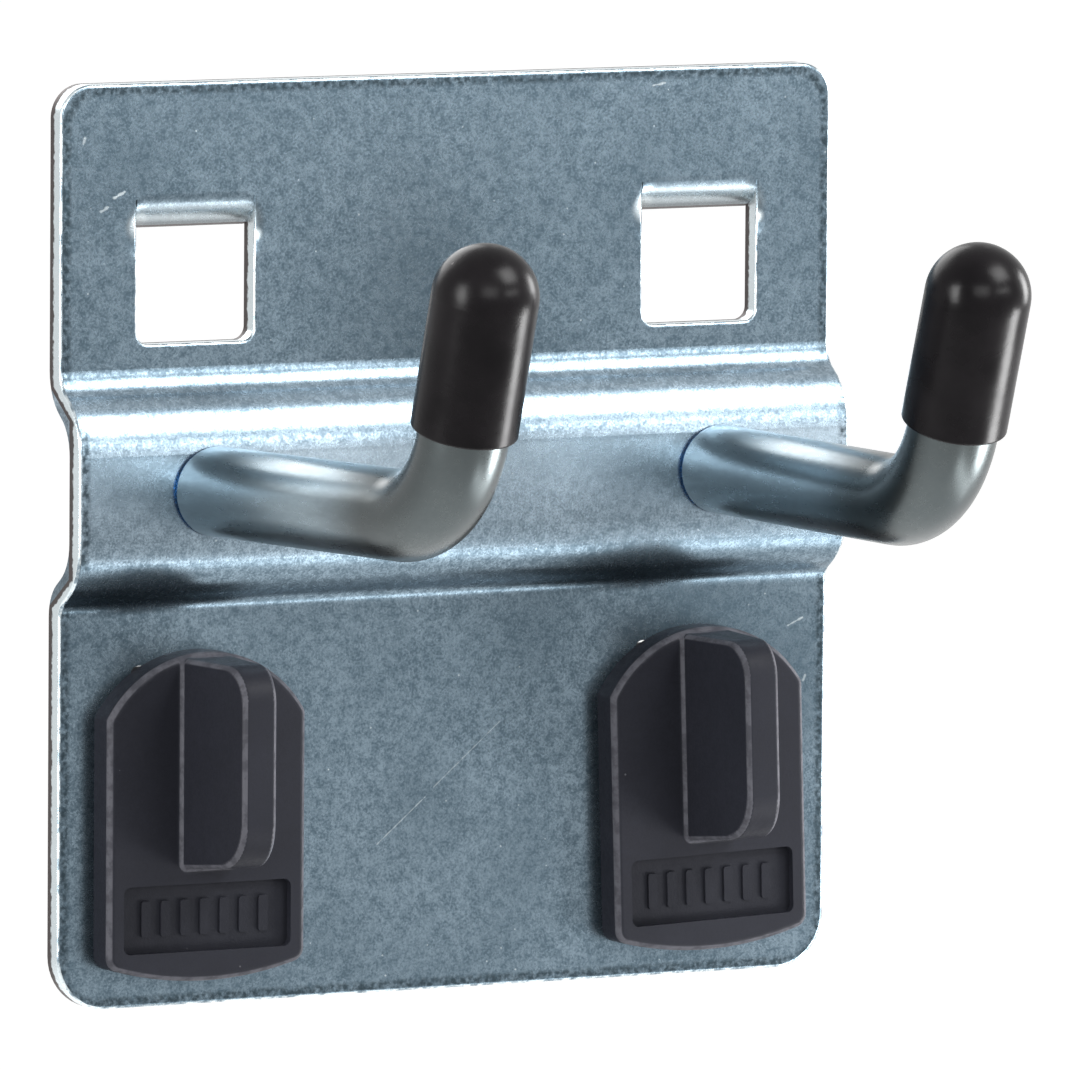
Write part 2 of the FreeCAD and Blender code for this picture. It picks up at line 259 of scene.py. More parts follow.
class ToolHookClips(bpy.types.PropertyGroup):
    """Finish of the two lock clips."""

    plastic: colour("Plastic", "Tone of the moulded plastic", (0.0125, 0.0132, 0.0175))
    # Rubbed wear and a painted highlight on the clip's edges
    worn_edge_and_highlight: colour("Worn", "Paler tone of its rubbed edges", (0.11, 0.11, 0.125))
    edge_wear_and_highlight: share("Edge wear", "How pale the edges are rubbed", 0.45)
    roughness: share("Roughness", "Middle roughness of the plastic", 0.46)


class ToolHookStudio(bpy.types.PropertyGroup):
    """Camera, floor and lights."""

    floor: colour("Floor", "Tone of the pale floor", (0.86, 0.86, 0.86))
    floor_drop: metres("Floor drop", "Gap between the hook and the floor", 0.120)
    floor_radius: metres("Floor radius", "Radius of the floor", 4.0)
    soft_light: share("Soft light", "Strength of the light from all round", 0.55, 2.0)
    lamps: share("Lamps", "Strength of the lamps, 1 is the studio's own level", 1.0, 4.0)
    turn: angle("Turn", "Camera's turn to the hook's left", 28.289)
    rise: angle("Rise", "Camera's height above the level, as an angle", 5.797)
    roll: angle("Roll", "Camera's roll", 0.413)
    distance: metres("Distance", "From the camera to its target", 1.02135)
    lens: bpy.props.FloatProperty(
        name="Lens", description="Focal length for a 36 mm wide sensor, in millimetres",
        min=1.0, max=5000.0, default=512.04)
    target: bpy.props.FloatVectorProperty(
        name="Target", description="Point at the middle of the picture",
        subtype="TRANSLATION", unit="LENGTH", size=3, default=(0.007411, 0.0, -0.020819))


class ToolHookSettings(bpy.types.PropertyGroup):
    """All settings of the tool hook."""

    plate: bpy.props.PointerProperty(type=ToolHookPlate, name="Plate", description="Plate finish")
    rods: bpy.props.PointerProperty(type=ToolHookRods, name="Rods", description="Rod finish")
    caps: bpy.props.PointerProperty(type=ToolHookCaps, name="Caps", description="Cap finish")
    clips: bpy.props.PointerProperty(type=ToolHookClips, name="Clips", description="Clip finish")
    studio: bpy.props.PointerProperty(type=ToolHookStudio, name="Studio", description="Studio")


# Small helpers for wiring nodes


def put(tree, kind, inputs=None, **settings):
    """Adds a node, sets its options, and joins or sets its inputs."""
    made = tree.nodes.new(kind)
    for name, value in settings.items():
        setattr(made, name, value)
    for key, value in (inputs or {}).items():
        if isinstance(value, bpy.types.NodeSocket):
            tree.links.new(value, made.inputs[key])
        else:
            made.inputs[key].default_value = value
    return made


def sum_of(tree, operation, first, second=0.0, third=None, clamp=False):
    """One Math node's result."""
    inputs = {0: first, 1: second}
    if third is not None:
        inputs[2] = third
    return put(tree, "ShaderNodeMath", inputs, operation=operation, use_clamp=clamp).outputs[0]


def spread(tree, value, low, high, to_low=0.0, to_high=1.0, smooth=False):
    """Maps a value from one range to another, held inside it."""
    made = put(tree, "ShaderNodeMapRange", {
        "Value": value, "From Min": low, "From Max": high, "To Min": to_low, "To Max": to_high,
    }, interpolation_type="SMOOTHSTEP" if smooth else "LINEAR")
    return made.outputs["Result"]


def within(tree, value, low, high, soft):
    """1 where a value lies between two others, with soft ends."""
    above = spread(tree, value, low - soft, low + soft)
    below = spread(tree, value, high - soft, high + soft, 1.0, 0.0)
    return product(tree, above, below)


def size_of(tree, value):
    """A value without its sign."""
    return sum_of(tree, "ABSOLUTE", value)


def product(tree, *values):
    """All the values multiplied, from the first to the last."""
    result = values[0]
    for value in values[1:]:
        result = sum_of(tree, "MULTIPLY", result, value)
    return result


def noise(tree, place, scale, detail, roughness=0.5):
    """A noise between 0 and 1."""
    made = put(tree, "ShaderNodeTexNoise", {
        "Vector": place, "Scale": scale, "Detail": detail, "Roughness": roughness})
    return made.outputs["Fac"]


def blend_colour(tree, amount, first, second):
    """Goes from the first colour to the second by an amount."""
    made = tree.nodes.new("ShaderNodeMix")
    made.data_type = "RGBA"
    sockets = {s.identifier: s for s in made.inputs}
    for key, value in (("Factor_Float", amount), ("A_Color", first), ("B_Color", second)):
        if isinstance(value, bpy.types.NodeSocket):
            tree.links.new(value, sockets[key])
        elif key == "Factor_Float":
            sockets[key].default_value = value
        else:
            sockets[key].default_value = (*value, 1.0)
    return next(s for s in made.outputs if s.identifier == "Result_Color")


def place_in_millimetres(tree):
    """The point on the piece in millimetres, its parts, and the parts of its face's direction."""
    coordinates = tree.nodes.new("ShaderNodeTexCoord")
    scaled = put(tree, "ShaderNodeVectorMath", {
        0: coordinates.outputs["Object"], "Scale": MM_PER_METRE}, operation="SCALE")
    parts = put(tree, "ShaderNodeSeparateXYZ", {0: scaled.outputs[0]})
    facing = put(tree, "ShaderNodeSeparateXYZ", {0: coordinates.outputs["Normal"]})
    return scaled.outputs[0], parts.outputs, facing.outputs


def new_group(name, takes, gives):
    """An empty shader node group with named sockets, with its two ends."""
    tree = bpy.data.node_groups.new(name, "ShaderNodeTree")
    for socket, kind, default in takes:
        made = tree.interface.new_socket(socket, in_out="INPUT", socket_type=kind)
        if default is not None:
            made.default_value = default
    for socket, kind in gives:
        tree.interface.new_socket(socket, in_out="OUTPUT", socket_type=kind)
    start = tree.nodes.new("NodeGroupInput")
    end = tree.nodes.new("NodeGroupOutput")
    return tree, start.outputs, end.inputs


def use_group(tree, name, inputs):
    """Places a group in a material and joins it."""
    made = tree.nodes.new("ShaderNodeGroup")
    made.node_tree = bpy.data.node_groups[name]
    for key, value in inputs.items():
        if isinstance(value, bpy.types.NodeSocket):
            tree.links.new(value, made.inputs[key])
        else:
            made.inputs[key].default_value = value
    return made.outputs


FLOAT = "NodeSocketFloat"
VECTOR = "NodeSocketVector"


def make_grain_group():
    """Fine mottled grain, soft clouds and tiny bright specks."""
    tree, given, result = new_group(
        "Surface grain",
        (("Place", VECTOR, None), ("Grain per mm", FLOAT, 6.2), ("Clouds per mm", FLOAT, 0.11),
         ("Specks per mm", FLOAT, 0.9), ("Speck size", FLOAT, 0.06)),
        (("Grain", FLOAT), ("Clouds", FLOAT), ("Specks", FLOAT)))
    fine = noise(tree, given["Place"], given["Grain per mm"], 3.0, 0.6)
    coarse_scale = product(tree, given["Grain per mm"], COARSE_GRAIN)
    coarse = noise(tree, given["Place"], coarse_scale, 2.0, 0.55)
    both = put(tree, "ShaderNodeMix", {0: COARSE_SHARE, 2: fine, 3: coarse})
    grain = spread(tree, both.outputs[0], 0.39, 0.61)
    clouds = noise(tree, given["Place"], given["Clouds per mm"], 3.0, 0.55)
    cells = put(tree, "ShaderNodeTexVoronoi", {
        "Vector": given["Place"], "Scale": given["Specks per mm"], "Randomness": 1.0})
    chosen = put(tree, "ShaderNodeSeparateColor", {0: cells.outputs["Color"]}).outputs[0]
    near = sum_of(tree, "LESS_THAN", cells.outputs["Distance"], given["Speck size"])
    kept = sum_of(tree, "GREATER_THAN", chosen, EMPTY_CELLS)
    tree.links.new(grain, result["Grain"])
    tree.links.new(spread(tree, clouds, 0.3, 0.7), result["Clouds"])
    tree.links.new(product(tree, near, kept), result["Specks"])


def make_wear_group():
    """Rubbed edges: a share that is broken up by a noise."""
    tree, given, result = new_group(
        "Rubbed edges",
        (("Place", VECTOR, None), ("Edge", FLOAT, 0.0), ("Break-up", FLOAT, 0.5),
         ("Breaks per mm", FLOAT, 1.6)),
        (("Rubbed", FLOAT),))
    breaks = noise(tree, given["Place"], given["Breaks per mm"], 3.0, 0.65)
    broken = spread(tree, breaks, 0.40, 0.56)
    gap = product(tree, sum_of(tree, "SUBTRACT", 1.0, broken), given["Break-up"])
    whole = sum_of(tree, "SUBTRACT", 1.0, gap)
    edge = sum_of(tree, "MULTIPLY", given["Edge"], whole, clamp=True)
    tree.links.new(edge, result["Rubbed"])


def make_mark_group():
    """One straight scratch or nick on a face that looks along Y."""
    tree, given, result = new_group(
        "Straight mark",
        (("Place", VECTOR, None), ("Start", VECTOR, None), ("End", VECTOR, None),
         ("Width", FLOAT, 0.1), ("Raggedness", FLOAT, 0.5)),
        (("Mark", FLOAT),))
    in_the_face = (1.0, 0.0, 1.0)

    def vector(operation, inputs):
        return put(tree, "ShaderNodeVectorMath", inputs, operation=operation).outputs

    def flat_gap(a, b):
        gap = vector("SUBTRACT", {0: a, 1: b})[0]
        return vector("MULTIPLY", {0: gap, 1: in_the_face})[0]

    def dot(a, b):
        return vector("DOT_PRODUCT", {0: a, 1: b})["Value"]

    here = flat_gap(given["Place"], given["Start"])
    along = flat_gap(given["End"], given["Start"])
    part = sum_of(tree, "DIVIDE", dot(here, along), dot(along, along), clamp=True)
    foot = vector("SCALE", {0: along, "Scale": part})[0]
    beside = vector("SUBTRACT", {0: here, 1: foot})[0]
    gap = vector("LENGTH", {0: beside})["Value"]
    ragged = spread(tree, given["Raggedness"], 0.35, 0.65, 0.2, 1.2)
    width = product(tree, given["Width"], ragged)
    mark = sum_of(tree, "SUBTRACT", 1.0, sum_of(tree, "DIVIDE", gap, width), clamp=True)
    tree.links.new(spread(tree, mark, 0.0, 0.6), result["Mark"])


def make_dent_group():
    """One soft dent on a face that looks along Y: 1 along its middle, 0 at its rim."""
    tree, given, result = new_group(
        "Soft dent",
        (("Place", VECTOR, None), ("Middle", VECTOR, None), ("Half length", FLOAT, 0.0),
         ("Radius", FLOAT, 1.0), ("Upright stretch", FLOAT, 1.0)),
        (("Dent", FLOAT),))
    gap = put(tree, "ShaderNodeVectorMath", {0: given["Place"], 1: given["Middle"]},
              operation="SUBTRACT")
    parts = put(tree, "ShaderNodeSeparateXYZ", {0: gap.outputs[0]}).outputs
    past_end = sum_of(tree, "SUBTRACT", size_of(tree, parts["X"]), given["Half length"])
    past_end = sum_of(tree, "MAXIMUM", past_end, 0.0)
    beside = sum_of(tree, "DIVIDE", parts["Z"], given["Upright stretch"])
    reach = put(tree, "ShaderNodeCombineXYZ", {"X": past_end, "Z": beside})
    length = put(tree, "ShaderNodeVectorMath", {0: reach.outputs[0]}, operation="LENGTH")
    dent = spread(tree, length.outputs["Value"], 0.0, given["Radius"], 1.0, 0.0, smooth=True)
    tree.links.new(dent, result["Dent"])


def make_groups():
    """Builds the shared groups once."""
    for name, maker in (("Surface grain", make_grain_group), ("Rubbed edges", make_wear_group),
                        ("Straight mark", make_mark_group), ("Soft dent", make_dent_group)):
        if name not in bpy.data.node_groups:
            maker()


def fresh_material(name):
    """A material with only its output and its shader, and the two of them."""
    material = bpy.data.materials.new(name)
    material.use_nodes = True
    tree = material.node_tree
    tree.nodes.clear()
    output = tree.nodes.new("ShaderNodeOutputMaterial")
    shader = tree.nodes.new("ShaderNodeBsdfPrincipled")
    tree.links.new(shader.outputs[0], output.inputs["Surface"])
    return material, tree, shader


def bump(tree, height):
    """Normal of a bump whose height is given in millimetres."""
    return put(tree, "ShaderNodeBump", {
        "Height": height, "Distance": 1.0 / MM_PER_METRE, "Strength": 1.0}).outputs[0]


def join_finish(tree, shader, tone, rough, height):
    """Joins a finish's tone, roughness and height to its shader."""
    tree.links.new(tone, shader.inputs["Base Color"])
    tree.links.new(rough, shader.inputs["Roughness"])
    tree.links.new(bump(tree, height), shader.inputs["Normal"])


def lay_over(tree, tone, layers):
    """Lays tones over a tone. Each layer is its amount, the share taken of it, and its tone."""
    for amount, taken, over in layers:
        tone = blend_colour(tree, product(tree, amount, taken), tone, over)
    return tone


def roughness_about(tree, pattern, middle, under, over):
    """Roughness that follows a pattern from a little under its middle to a little over it."""
    return spread(tree, pattern, 0.0, 1.0, middle - under, middle + over)


def finish_nodes(names, material):
    """Gives every named solid this material in all its slots."""
    for name in names:
        piece = frame["nodes"][name]
        for place in piece.material_slots:
            place.material = material


def add_spots(tree, place, spots, total):
    """Adds soft round spots to a share. Each has its middle (x, z), radius and strength."""
    for (x, z), radius, strength in spots:
        spot = use_group(tree, "Soft dent", {
            "Place": place, "Middle": (x, 0.0, z), "Radius": radius})["Dent"]
        total = sum_of(tree, "MULTIPLY_ADD", spot, strength, total, clamp=True)
    return total


def channel_painted_sheen(tree, at):
    """Share of the channel's painted reflection, a paler tone, and how far inside the channel a
    point lies.
    """
    from_middle = size_of(tree, sum_of(tree, "SUBTRACT", at["Z"], CHANNEL_CENTRE))
    inwards = sum_of(tree, "SUBTRACT", CHANNEL_HALF_HEIGHT, from_middle)
    face = product(
        tree,
        spread(tree, at["Z"], CHANNEL_SHEEN_LOW, CHANNEL_FACE_TOP, 0.15, 1.0),
        spread(tree, at["Z"], CHANNEL_FACE_TOP, CHANNEL_FACE_TOP + CREST_FADE, 1.0, 0.2))
    wall = within(tree, at["Z"], UPPER_WALL_LOW, UPPER_WALL_TOP, 0.35)
    stretched = sum_of(tree, "MAXIMUM", face, product(tree, wall, UPPER_WALL_SHEEN))
    stretched = product(
        tree, stretched,
        spread(tree, inwards, 0.0, 0.6),
        sum_of(tree, "GREATER_THAN", at["Z"], CHANNEL_SHEEN_LOW))
    return stretched, inwards


def plate_marks(tree, place, facing, ragged):
    """Share of the small scratches and nicks, on the front alone."""
    marks = 0.0
    for start, end, width, strength in PLATE_MARKS:
        mark = use_group(tree, "Straight mark", {
            "Place": place, "Start": (start[0], 0.0, start[1]), "End": (end[0], 0.0, end[1]),
            "Width": width, "Raggedness": ragged})["Mark"]
        marks = sum_of(tree, "MULTIPLY_ADD", mark, strength, marks, clamp=True)
    return product(tree, marks, sum_of(tree, "LESS_THAN", facing["Y"], 0.0))


def plate_folds(tree, place, at, facing):
    """The sheet at the tabs' bends: its draw-in, its painted highlight and the painted shade under
    it.
    """
    drawn = 0.0
    folds = 0.0
    for (x, z), half, radius, deep in DRAWN_IN:
        dent = use_group(tree, "Soft dent", {
            "Place": place, "Middle": (x, 0.0, z), "Half length": half,
            "Radius": radius, "Upright stretch": 1.3})["Dent"]
        drawn = sum_of(tree, "MULTIPLY_ADD", dent, -deep, drawn)
        folds = sum_of(tree, "ADD", dent, folds)
    # Painted shade under the tabs' bends, where the sheet turns downwards
    downwards = spread(tree, facing["Z"], -0.8, -0.5, 1.0, 0.0)
    under = product(tree, downwards, folds, 0.9)
    # Painted highlight along the tabs' bends, with spots of it at their ends
    fold_highlight = product(tree, folds, within(tree, at["Z"], *FOLD_HIGHLIGHT_BAND, 0.35))
    fold_highlight = add_spots(tree, place, FOLD_END_HIGHLIGHTS, fold_highlight)
    return drawn, fold_highlight, under


def plate_cut(tree, at, facing, inwards, ragged):
    """Share of the sheet's cut edge, and of its rough rear part."""
    raised = spread(tree, inwards, 0.0, CHANNEL_RUN, 0.0, CHANNEL_DEPTH)
    depth = sum_of(tree, "ADD", sum_of(tree, "ADD", at["Y"], SHEET), raised)
    limit = sum_of(tree, "MULTIPLY_ADD", ragged, 0.6, 0.65)
    broken = spread(tree, sum_of(tree, "SUBTRACT", depth, limit), -0.08, 0.08)
    cut = product(
        tree,
        sum_of(tree, "LESS_THAN", size_of(tree, facing["Y"]), EDGE_ON),
        sum_of(tree, "LESS_THAN", depth, SHEET + 0.05),
        sum_of(tree, "GREATER_THAN", at["Y"], CHANNEL_FRONT - 0.4))
    return cut, broken


def plate_outline_shade(tree, at, facing, ragged):
    """Share of the painted shade that runs inside the plate's rounded outline."""
    across = sum_of(tree, "SUBTRACT", size_of(tree, at["X"]), PLATE_HALF_WIDTH - CORNER)
    middle = (PLATE_TOP + PLATE_BOTTOM) / 2
    height_gap = size_of(tree, sum_of(tree, "SUBTRACT", at["Z"], middle))
    upright = sum_of(tree, "SUBTRACT", height_gap, (PLATE_TOP - PLATE_BOTTOM) / 2 - CORNER)
    corner = put(tree, "ShaderNodeCombineXYZ", {
        "X": sum_of(tree, "MAXIMUM", across, 0.0), "Z": sum_of(tree, "MAXIMUM", upright, 0.0)})
    outwards = put(tree, "ShaderNodeVectorMath", {0: corner.outputs[0]}, operation="LENGTH")
    band = within(tree, outwards.outputs["Value"], CORNER - 0.75, CORNER - 0.15, 0.15)
    return product(
        tree, band,
        spread(tree, ragged, 0.35, 0.6),
        sum_of(tree, "GREATER_THAN", size_of(tree, facing["Y"]), FRONT_ON))


def plate_rubbed_and_highlit(tree, place, at, facing):
    """Share of the rolled edges along the outline and the windows, which are rubbed and carry a
    painted highlight.
    """
    turned = within(tree, size_of(tree, facing["Y"]), 0.12, TURNED_AWAY, 0.03)
    inside_outline = sum_of(
        tree, "LESS_THAN", size_of(tree, at["X"]), PLATE_HALF_WIDTH - 2.0)
    at_fold = product(tree, within(tree, at["Z"], 0.0, 4.0, 0.1), inside_outline)
    beside = product(
        tree,
        sum_of(tree, "GREATER_THAN", size_of(tree, facing["X"]), 0.2),
        sum_of(tree, "SUBTRACT", 1.0, at_fold))
    level = sum_of(
        tree, "MAXIMUM",
        sum_of(tree, "GREATER_THAN", at["Z"], PLATE_TOP - EDGE_BAND),
        sum_of(tree, "LESS_THAN", at["Z"], PLATE_BOTTOM + EDGE_BAND))
    sill = sum_of(tree, "COMPARE", at["Z"], WINDOW_SILL, 0.25)
    level = sum_of(tree, "MAXIMUM", level, sill)
    rolled = product(tree, turned, sum_of(tree, "MAXIMUM", beside, level))
    return use_group(tree, "Rubbed edges", {
        "Place": place, "Edge": rolled, "Break-up": 0.9, "Breaks per mm": 1.2})["Rubbed"]


def plate_material(settings):
    """Blue-passivated zinc on sheet steel, with burnished and broken cut edges."""
    material, tree, shader = fresh_material("Zinc plate")
    place, at, facing = place_in_millimetres(tree)
    grain = use_group(tree, "Surface grain", {"Place": place})
    ragged = noise(tree, place, 2.6, 3.0)
    stretched, inwards = channel_painted_sheen(tree, at)
    drawn, fold_highlight, under = plate_folds(tree, place, at, facing)
    cut, broken = plate_cut(tree, at, facing, inwards, ragged)
    painted_shade_spots = add_spots(tree, place, PLATE_PAINTED_SHADE, 0.0)

    # Painted reflection: the channel's face and upper wall take the paler channel tone
    tone = blend_colour(tree, stretched, settings.zinc, settings.channel)
    finer = spread(tree, stretched, 0.0, 1.0, 1.0, 0.45)
    tone = lay_over(tree, tone, (
        (product(tree, grain["Grain"], settings.grain), finer, settings.zinc_shade),
        (grain["Clouds"], 0.4, settings.zinc_shade),
        (grain["Specks"], 0.35, settings.bright_edge_and_highlight),
        (plate_marks(tree, place, facing, ragged), 1.0, settings.bright_edge_and_highlight),
        # Painted shade in soft dark clouds
        (painted_shade_spots, 1.0, settings.zinc_shade),
        # Painted highlight on the tabs' bends
        (fold_highlight, 0.85, settings.bright_edge_and_highlight),
        # Painted shade under the tabs' bends
        (under, 1.0, settings.outline),
        (cut, 0.85, settings.bright_edge_and_highlight),
        (cut, product(tree, broken, 0.95), settings.broken_edge),
        # Painted shade along the outline
        (plate_outline_shade(tree, at, facing, ragged), settings.outline_shade, settings.outline),
        # Rubbed wear and painted highlight on the rolled edges
        (plate_rubbed_and_highlit(tree, place, at, facing), settings.edge_wear_and_highlight, settings.bright_edge_and_highlight),
    ))

    rough = roughness_about(tree, grain["Grain"], settings.roughness, 0.01, 0.03)
    rough = sum_of(tree, "MULTIPLY_ADD", product(tree, cut, broken), 0.2, rough, clamp=True)
    waves = noise(tree, place, 0.28, 1.0)
    height = sum_of(
        tree, "MULTIPLY_ADD", waves, settings.waviness * MM_PER_METRE,
        product(tree, grain["Grain"], 0.0004))
    height = sum_of(tree, "ADD", height, drawn)
    join_finish(tree, shader, tone, rough, height)
    shader.inputs["Metallic"].default_value = 1.0
    return material


def rod_material(settings):
    """Smoother zinc on drawn rod, with a painted highlight making the arm paler and painted shade
    making the bend and upright darker, and a dark seam at its root.
    """
    material, tree, shader = fresh_material("Zinc rod")
    place, at, _ = place_in_millimetres(tree)
    stretched = put(tree, "ShaderNodeVectorMath", {0: place, 1: ALONG_THE_ROD},
                    operation="MULTIPLY")
    grain = use_group(tree, "Surface grain", {
        "Place": stretched.outputs[0], "Grain per mm": 3.0, "Clouds per mm": 0.22,
        "Specks per mm": 0.7, "Speck size": 0.05})
    forward = product(tree, at["Y"], -1.0)
    bent = spread(tree, forward, settings.bend_start * MM_PER_METRE,
                  settings.bend_end * MM_PER_METRE, smooth=True)
    reach = CHANNEL_FRONT - settings.seam_width * MM_PER_METRE
    seam = within(tree, at["Y"], reach, CHANNEL_FRONT + 0.3, 0.05)

    # Painted light and shade: paler on the arm, darker from the bend onwards
    tone = blend_colour(tree, bent, settings.zinc, settings.bent)
    tone = lay_over(tree, tone, (
        (grain["Grain"], 0.15, settings.zinc_shade),
        (grain["Clouds"], 0.35, settings.zinc_shade),
        (grain["Specks"], 0.4, settings.zinc),
        (seam, 1.0, settings.seam),
    ))
    rough = roughness_about(tree, grain["Grain"], settings.roughness, 0.01, 0.02)
    height = sum_of(
        tree, "MULTIPLY_ADD", grain["Clouds"], 0.001, product(tree, grain["Grain"], 0.0003))
    join_finish(tree, shader, tone, rough, height)
    shader.inputs["Metallic"].default_value = 1.0
    return material


def cap_material(settings):
    """Glossy dipped vinyl with a faint bloom."""
    material, tree, shader = fresh_material("Black vinyl")
    place, _, _ = place_in_millimetres(tree)
    grain = use_group(tree, "Surface grain", {
        "Place": place, "Grain per mm": 1.2, "Clouds per mm": 0.28,
        "Specks per mm": 0.45, "Speck size": 0.05})
    tone = lay_over(tree, settings.vinyl, (
        (grain["Clouds"], 0.6, settings.bloom),
        (grain["Specks"], 0.35, DUST_ON_VINYL),
    ))
    rough = roughness_about(tree, grain["Clouds"], settings.roughness, 0.04, 0.07)
    height = sum_of(
        tree, "MULTIPLY_ADD", grain["Grain"], 0.002, product(tree, grain["Clouds"], 0.016))
    join_finish(tree, shader, tone, rough, height)
    shader.inputs["Specular IOR Level"].default_value = VINYL_SPECULAR
    return material


def clip_edges(tree, at, facing):
    """Share of the clip's edges, which take rubbed wear and a painted highlight: those of the fin,
    and those of the base behind it.
    """
    on_fin = sum_of(tree, "LESS_THAN", at["Y"], CLIP_FRONT - 0.25)
    fin_edge = product(
        tree, on_fin, within(tree, size_of(tree, facing["X"]), 0.25, 0.95, 0.03))
    base_edge = product(
        tree, sum_of(tree, "SUBTRACT", 1.0, on_fin),
        within(tree, size_of(tree, facing["Y"]), 0.2, TURNED_AWAY, 0.03))
    return sum_of(tree, "MAXIMUM", fin_edge, base_edge)


def clip_material(settings):
    """Fine matte moulded plastic, paler on its edges where rubbed and as a painted highlight,
    rougher in the label recess and darker there as painted shade.
    """
    material, tree, shader = fresh_material("Black plastic")
    place, at, facing = place_in_millimetres(tree)
    grain = use_group(tree, "Surface grain", {
        "Place": place, "Grain per mm": 5.5, "Clouds per mm": 0.16,
        "Specks per mm": 0.55, "Speck size": 0.05})
    darker = tuple(0.6 * part for part in settings.plastic)
    on_label = product(
        tree,
        within(tree, at["Y"], CLIP_FRONT + 0.25, -SHEET - 0.3, 0.05),
        sum_of(tree, "GREATER_THAN", size_of(tree, facing["Y"]), FRONT_ON))
    rubbed = use_group(tree, "Rubbed edges", {
        "Place": place, "Edge": clip_edges(tree, at, facing),
        "Break-up": 0.5, "Breaks per mm": 1.1})["Rubbed"]
    tone = lay_over(tree, settings.plastic, (
        (grain["Grain"], 0.4, darker),
        (grain["Clouds"], 0.4, darker),
        (grain["Specks"], 0.35, DUST_ON_PLASTIC),
        # Painted shade in the label recess, which is also rougher
        (on_label, 0.5, darker),
        # Rubbed wear and painted highlight on the clip's edges
        (rubbed, settings.edge_wear_and_highlight, settings.worn_edge_and_highlight),
    ))
    rough = roughness_about(tree, grain["Grain"], settings.roughness, 0.05, 0.08)
    rough = sum_of(tree, "MULTIPLY_ADD", on_label, 0.15, rough, clamp=True)
    height = product(
        tree, grain["Grain"], sum_of(tree, "MULTIPLY_ADD", on_label, 0.004, 0.003))
    join_finish(tree, shader, tone, rough, height)
    shader.inputs["Specular IOR Level"].default_value = PLASTIC_SPECULAR
    return material


def direction(turn, rise):
    """Unit vector away from the hook: turn 0 is straight to its front, 90 to its right."""
    a, e = radians(turn), radians(rise)
    return Vector((sin(a) * cos(e), -cos(a) * cos(e), sin(e)))


def soft_lamp(name, turn, rise, distance, width, height, glow, spread_angle):
    """An area lamp of this size and glow that looks at the hook."""
    light = bpy.data.lights.new(name, "AREA")
    light.shape = "RECTANGLE"
    light.size = width
    light.size_y = height
    light.energy = glow * pi * width * height
    light.spread = radians(spread_angle)
    lamp = bpy.data.objects.new(name, light)
    away = direction(turn, rise)
    lamp.location = Vector(LAMP_AIM) + away * distance
    lamp.rotation_mode = "QUATERNION"
    lamp.rotation_quaternion = away.to_track_quat("Z", "Y")
    lamp.visible_camera = False
    bpy.context.scene.collection.objects.link(lamp)


def seen_directly(tree):
    """1 for rays from the camera, from reflections and through glass."""
    rays = tree.nodes.new("ShaderNodeLightPath")
    seen = sum_of(tree, "MAXIMUM", rays.outputs["Is Camera Ray"], rays.outputs["Is Glossy Ray"])
    return sum_of(tree, "MAXIMUM", seen, rays.outputs["Is Transmission Ray"])


def make_world(studio):
    """White where it is seen, softer as light from all round."""
    world = bpy.data.worlds.new("Studio light")
    world.use_nodes = True
    tree = world.node_tree
    tree.nodes.clear()
    soft = put(tree, "ShaderNodeBackground", {"Color": WHITE, "Strength": studio.soft_light})
    white = put(tree, "ShaderNodeBackground", {"Color": WHITE, "Strength": 1.0})
    mix = put(tree, "ShaderNodeMixShader", {
        0: seen_directly(tree), 1: soft.outputs[0], 2: white.outputs[0]})
    output = tree.nodes.new("ShaderNodeOutputWorld")
    tree.links.new(mix.outputs[0], output.inputs["Surface"])
    bpy.context.scene.world = world


def make_floor(studio):
    """Pale floor, lifted to white where it is seen, that keeps the hook's shadow."""
    mesh = bpy.data.meshes.new("Floor")
    radius = studio.floor_radius
    height = CAD_LOW.z - studio.floor_drop
    turns = [2 * pi * i / FLOOR_CORNERS for i in range(FLOOR_CORNERS)]
    rim = [(radius * cos(turn), radius * sin(turn), height) for turn in turns]
    mesh.from_pydata(rim, [], [tuple(range(FLOOR_CORNERS))])
    floor = bpy.data.objects.new("Floor", mesh)
    bpy.context.scene.collection.objects.link(floor)
    material = bpy.data.materials.new("Pale floor")
    material.use_nodes = True
    tree = material.node_tree
    tree.nodes.clear()
    matte = put(tree, "ShaderNodeBsdfDiffuse", {"Color": (*studio.floor, 1.0)})
    lift = product(tree, seen_directly(tree), FLOOR_LIFT)
    glow = put(tree, "ShaderNodeEmission", {"Color": WHITE, "Strength": lift})
    both = put(tree, "ShaderNodeAddShader", {0: matte.outputs[0], 1: glow.outputs[0]})
    output = tree.nodes.new("ShaderNodeOutputMaterial")
    tree.links.new(both.outputs[0], output.inputs["Surface"])
    mesh.materials.append(material)


def make_camera(studio):
    """Long lens from the hook's left and a little above."""
    turn, rise, roll = studio.turn, studio.rise, studio.roll
    back = Vector((-sin(turn) * cos(rise), -cos(turn) * cos(rise), sin(rise)))
    across = Vector((cos(turn), -sin(turn), 0.0))
    above = Vector((sin(turn) * sin(rise), cos(turn) * sin(rise), cos(rise)))
    side = across * cos(roll) + above * sin(roll)
    top = above * cos(roll) - across * sin(roll)
    view = bpy.data.cameras.new("Camera")
    view.sensor_width = SENSOR_WIDTH
    view.lens = studio.lens
    view.clip_start = NEAREST_SEEN
    view.clip_end = FARTHEST_SEEN
    camera = bpy.data.objects.new("Camera", view)
    placed = Matrix((side, top, back)).transposed().to_4x4()
    placed.translation = Vector(studio.target) + back * studio.distance
    camera.matrix_world = placed
    bpy.context.scene.collection.objects.link(camera)
    bpy.context.scene.camera = camera


